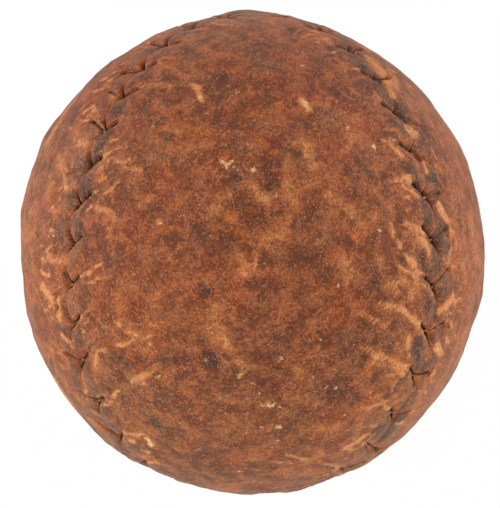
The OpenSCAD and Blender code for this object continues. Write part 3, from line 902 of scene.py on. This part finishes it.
# Which ways the hairline scratches run, as turns in radians, with a seed for each, and how
# far their noise is drawn out, in mm
HAIR_WAYS = (((0.2, 0.1, 0.6), 3.0), ((0.1, 0.3, 1.9), 13.0), ((0.4, -0.2, 2.7), 23.0),
             ((0.3, 1.2, 0.2), 33.0), ((0.0, 0.9, 1.2), 43.0))
HAIR_SIZE = (4.5, 0.34, 0.34)


def hairlines(start, mm):
    """Thin bent scratches, a few mm long, that run several ways: the peaks of noise drawn out
    along each way."""
    return reduce(Flow.highest, [
        start.node("TexNoise", Scale=1.0, Detail=1.0, Roughness=0.5, Vector=start.node(
            "Mapping", {"vector_type": "TEXTURE"}, Vector=shaken(start, mm, 9.0, 2.2, seed),
            Rotation=turn, Scale=HAIR_SIZE)).rise(0.68, 0.78)
        for turn, seed in HAIR_WAYS])


def leather(start, mm):
    """Aged leather: tones of many sizes, then the marks of wear and dirt and the shade painted
    into the grooves, by the masks kept with the mesh, each a mix of one more colour."""
    worn, pillow, dark, dull = (
        start.node("Attribute", {"attribute_name": name}, out="Fac")
        for name in ("worn", "pillow", "dark", "dull"))

    patches = noise(start, mm, 16.0, 3.0, 0.6, 0.4, 3.0)
    blotches = noise(start, mm, 4.0, 6.0, 0.75, 0.6, 9.0)
    speckle = noise(start, mm, 0.8, 5.0, 0.85, 0.0, 5.0)
    grit = noise(start, mm, 0.3, 3.0, 0.85, 0.0, 25.0)
    tone = (0.425 + patches.spread(0.9) + blotches.spread(1.15) + speckle.spread(1.2)
            + grit.spread(0.6))
    base = start.node("ValToRGB", {"stops": (
        (0.2, "50260f"), (0.36, "6d371b"), (0.5, "85431f"), (0.64, "a05a2c"),
        (0.84, "ca864c"))}, Fac=tone)

    # Redder or more orange where hands have polished it, burnt and grey brown in patches
    red = noise(start, mm, 8.0, 5.0, 0.75, 0.4, 14.0).rise(0.45, 0.62)
    base = base.mix("8a3511", red * 0.5)
    orange = noise(start, mm, 5.0, 5.0, 0.75, 0.5, 19.0).rise(0.54, 0.7)
    base = base.mix("bd681c", orange * 0.84)
    grey = noise(start, mm, 4.5, 6.0, 0.8, 0.8, 23.0).rise(0.5, 0.66)
    base = base.mix("563b2c", grey * 0.74)
    burnt = noise(start, mm, 2.6, 6.0, 0.8, 0.6, 27.0).rise(0.53, 0.68)
    base = base.mix("50270f", burnt * 0.58)

    # The pressed pillows beside the seam and the dull patches
    ragged = noise(start, mm, 1.5, 6.0, 0.85, 0.3, 31.0)
    stain = noise(start, mm, 6.0, 2.0, 0.5, 0.0, 33.0)
    pressed = (pillow * 0.95 + ragged.spread(1.8) + stain.spread(2.6)).rise(0.25, 0.95)
    base = base.mix("4a362e", pressed * 0.72)
    sunk = (dull + ragged.spread(2.0)).rise(0.16, 0.85)
    base = base.mix("3c2a22", sunk * 0.74)
    base = base.mix("2a211e", (dull + ragged.spread(0.8)).rise(0.6, 1.1) * 0.62)

    # Rubbed ridges and streaks: orange, and tan where the grain stands highest
    rubbed = noise(start, mm, 1.1, 6.0, 0.85, 0.4, 41.0)
    scratchy = noise(start, mm, 0.42, 4.0, 0.8, 0.0, 45.0)
    ridge = (worn * 1.15 + rubbed.spread(1.4) - sunk * 0.2).rise(0.18, 0.9)
    base = base.mix("bb733c", ridge * 0.7)
    grain = (ridge + scratchy.spread(2.6)).rise(0.5, 1.3) * ridge.rise(0.0, 0.5)
    base = base.mix("dea272", grain * 0.85)

    # The crazed grain: fine cells with pale rims where it is rubbed and dark cracks elsewhere,
    # pale flecks and dark pores
    cells = start.node("TexVoronoi", {"feature": "DISTANCE_TO_EDGE"}, Scale=2.1,
                       Vector=shaken(start, mm, 0.5, 0.9, 2.0))
    rims = 1 - cells.rise(0.0, 0.2)
    shown = noise(start, mm, 3.0, 5.0, 0.75, 0.0, 51.0)
    base = base.mix("3f1d0a", rims * (1 - shown.rise(0.36, 0.54)) * 0.6)
    base = base.mix("cc875a", rims * shown.rise(0.46, 0.62) * 0.52)
    flecks = noise(start, mm, 0.36, 3.0, 0.8, 0.0, 61.0)
    base = base.mix("d4956f",
                    flecks.rise(0.54, 0.72) * (0.42 + 0.5 * blotches.rise(0.4, 0.62)))
    base = base.mix("451c07", (1 - flecks.rise(0.3, 0.47)) * 0.6)

    # Hairline scratches, the cream flakes the picture shows, and sparse flakes elsewhere
    base = base.mix("d79c6c", hairlines(start, mm) * 0.36)
    crumbs = shaken(start, shaken(start, mm, 0.9, 0.8, 7.0), 0.24, 0.6, 11.0)
    base = base.mix("edc79c", marks(start, crumbs, CREAM, 0.7) * 0.92)
    scatter = start.node("TexVoronoi", {"feature": "F1"}, Scale=0.16,
                         Vector=shaken(start, mm, 0.5, 0.9, 12.0))
    base = base.mix("e0b384", scatter.rise(0.05, 0.02) * 0.8)

    # Painted shade in the grooves, slits, holes and lining; leather yellower towards -Y and,
    # with more painted shade, darker towards +Y; and old wax over all of it
    base = base.mix("1f0f09", dark.rise(0.2, 0.75) * 0.93)
    along = start.node("SeparateXYZ", out="Y", Vector=mm)
    base = base.mix((0.94, 1.01, 0.96), along.rise(-10.0, -32.0), "MULTIPLY")
    # Painted shade: the colour darkens towards +Y to take back the stronger lamp light there
    base = base.mix((0.77, 0.645, 0.54), along.rise(6.0, 33.0), "MULTIPLY")
    base = base.mix((0.825, 0.72, 0.565), 1.0, "MULTIPLY")

    height = blotches * 0.6 + speckle * 0.6 + grit * 0.4 - rims * shown.spread(2.0) * 0.4
    rough = 0.52 + 0.25 * speckle - 0.1 * pillow + 0.1 * dark
    return {"Base Color": base, "Roughness": rough, "Normal": bump(start, height, 0.19)}


def waxed(start, mm):
    """Waxed thread, stained in fine streaks and broader patches."""
    lay = noise(start, mm, 0.4, 3.0, 0.6, 0.0, 5.0)
    stain = noise(start, mm, 3.0, 4.0, 0.6, 0.4, 8.0)
    base = start.node("ValToRGB", {"stops": ((0.3, "4a2d1b"), (0.52, "8a5a34"), (0.74, "c79860"))},
                      Fac=lay * 0.4 + stain * 0.6)
    return {"Base Color": base, "Roughness": 0.45 + 0.25 * lay, "Normal": bump(start, lay, 0.08)}


def yarn(pale, deep, size):
    """Wound yarn: fine turns that cross, in two near shades."""
    def build(start, mm):
        turns = start.node("TexWave", {"wave_type": "BANDS", "bands_direction": "DIAGONAL"},
                           out="Fac", Vector=mm, Scale=1.0 / size, Distortion=3.0, Detail=3.0,
                           Detail_Scale=1.4)
        fuzz = noise(start, mm, size * 0.6, 5.0, 0.7, 0.2, 4.0)
        tone = turns * 0.5 + fuzz * 0.5
        base = start.node("ValToRGB", {"stops": ((0.25, deep), (0.75, pale))}, Fac=tone)
        return {"Base Color": base, "Roughness": 0.75 + 0.2 * fuzz,
                "Normal": bump(start, tone, 0.3)}
    return build


def rubber(start, mm):
    """Moulded rubber, matt, with a grey bloom and fine pits."""
    bloom = noise(start, mm, 6.0, 5.0, 0.65, 0.3, 6.0)
    pits = noise(start, mm, 0.8, 3.0, 0.6, 0.0, 16.0)
    base = start.node("ValToRGB", {"stops": ((0.3, "1c1a19"), (0.6, "2b2725"), (0.8, "47403a"))},
                      Fac=bloom)
    return {"Base Color": base, "Roughness": 0.55 + 0.3 * pits,
            "Normal": bump(start, pits * 0.5 + bloom * 0.5, 0.15)}


# ---------------------------------------------------------------- the pieces

leather_look = material("aged_red_brown_leather", leather, Specular_IOR_Level=0.2,
                        Sheen_Weight=0.105, Sheen_Roughness=0.45, Sheen_Tint=(1.0, 0.7, 0.45, 1.0))
thread_look = material("waxed_linen_thread", waxed, Specular_IOR_Level=0.4)
cotton_look = material("wound_cotton_thread", yarn("cdb994", "8d7654", 0.7), Sheen_Weight=0.2)
for piece, look in (
        (panel_mesh("leather_panel_a", 0, "cover_panel_a"), leather_look),
        (panel_mesh("leather_panel_b", 1, "cover_panel_b"), leather_look),
        (thread_mesh("lacing_a", 1, "waxed_thread_a"), thread_look),
        (thread_mesh("lacing_b", -1, "waxed_thread_b"), thread_look),
        (winding_mesh("wound_cotton", "cotton_winding"), cotton_look)):
    piece.data.materials.append(look)

for node, look in (
        ("rubber_core", material("moulded_black_rubber", rubber)),
        ("coarse_wool_winding",
         material("coarse_blue_grey_wool", yarn("7c8190", "4c5060", 1.8), Sheen_Weight=0.3)),
        ("fine_wool_winding",
         material("fine_undyed_wool", yarn("dccfae", "a8946c", 1.0), Sheen_Weight=0.3))):
    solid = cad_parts[node]
    solid.data.materials.clear()
    solid.data.materials.append(look)

# ---------------------------------------------------------------- the room

WHITE = (1.0, 1.0, 1.0)
FLOOR_HALF = 3.0
# The floor lies this little under the ball, in metres
CLEAR = 0.00003
ROOM_LIGHT = 0.54


def room_look(owner, end, build):
    """Gives a material or the world the shader that build makes, and nothing else."""
    owner.use_nodes = True
    tree = owner.node_tree
    tree.nodes.clear()
    output = tree.nodes.new("ShaderNodeOutput" + end)
    tree.links.new(build(Flow(tree)).socket, output.inputs["Surface"])


def white_paper(start):
    """Matt to the lamps, and plain white to the camera and in reflections: nine tenths white
    round the ball, so that its shadow shows, and all white far off."""
    seen = start.node("LightPath", out="Is Camera Ray").highest(
        start.node("LightPath", out="Is Glossy Ray"))
    far = start.vector("LENGTH", start.node("TexCoord", out="Object"), out="Value")
    whiter = start.node("MapRange", Value=far, From_Min=0.15, From_Max=0.5, To_Min=0.9, To_Max=1.0)
    return start.node("MixShader", i0=seen * whiter,
                      i1=start.node("BsdfDiffuse", Color=(0.85, 0.85, 0.85)),
                      i2=start.node("Emission", Color=WHITE, Strength=1.0))


def soft_room(start):
    """A soft even light, which the camera sees as plain white."""
    return start.node("MixShader", i0=start.node("LightPath", out="Is Camera Ray"),
                      i1=start.node("Background", Color=WHITE, Strength=ROOM_LIGHT),
                      i2=start.node("Background", Color=WHITE, Strength=1.0))


def flat_square(name, half, level):
    """A level square about the origin."""
    mesh = bpy.data.meshes.new(name)
    mesh.from_pydata([(-half, -half, level), (half, -half, level), (half, half, level),
                      (-half, half, level)], [], [(0, 1, 2, 3)])
    made = bpy.data.objects.new(name, mesh)
    bpy.context.scene.collection.objects.link(made)
    return made


low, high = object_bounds()
floor = flat_square("floor", FLOOR_HALF, low[2] - CLEAR)
paper = bpy.data.materials.new("white_paper")
room_look(paper, "Material", white_paper)
floor.data.materials.append(paper)

world = bpy.data.worlds.new("soft_room")
bpy.context.scene.world = world
room_look(world, "World", soft_room)


def turned_to(right, up, back, place):
    """The matrix of an object that looks away from back, at a place in metres."""
    matrix = Matrix(np.stack([right, up, back], axis=1).tolist()).to_4x4()
    matrix.translation = place
    return matrix


def soft_lamp(name, place, size, watts):
    """A round lamp that looks at the ball's centre and that the camera doesn't see."""
    data = bpy.data.lights.new(name, "AREA")
    data.shape, data.size, data.energy = "DISK", size, watts
    lamp = bpy.data.objects.new(name, data)
    bpy.context.scene.collection.objects.link(lamp)
    back = unit(np.array(place, float))
    side = unit(np.cross([0.0, 1.0, 0.2], back))
    lamp.matrix_world = turned_to(side, np.cross(back, side), back, place)
    lamp.visible_camera = False


soft_lamp("key", (-0.56, 0.2, 0.22), 0.4, 4.1)
soft_lamp("fill", (0.52, 0.32, 0.2), 0.4, 4.4)
soft_lamp("low", (-0.04, -0.6, 0.22), 0.4, 3.3)

camera_data = bpy.data.cameras.new("camera")
camera = bpy.data.objects.new("camera", camera_data)
bpy.context.scene.collection.objects.link(camera)
bpy.context.scene.camera = camera
long_side = max(PICTURE)
camera_data.sensor_width = SENSOR
camera_data.lens = FOCAL_PX * SENSOR / long_side
camera_data.shift_x = (PICTURE[0] / 2 - CENTRE_PX[0]) / long_side
camera_data.shift_y = (CENTRE_PX[1] - PICTURE[1] / 2) / long_side
camera_data.clip_start, camera_data.clip_end = 0.01, 20.0
camera.matrix_world = turned_to(PICTURE_RIGHT, PICTURE_UP, TO_CAMERA,
                                tuple(TO_CAMERA * DISTANCE * MM))

bpy.context.scene.view_settings.view_transform = "Standard"
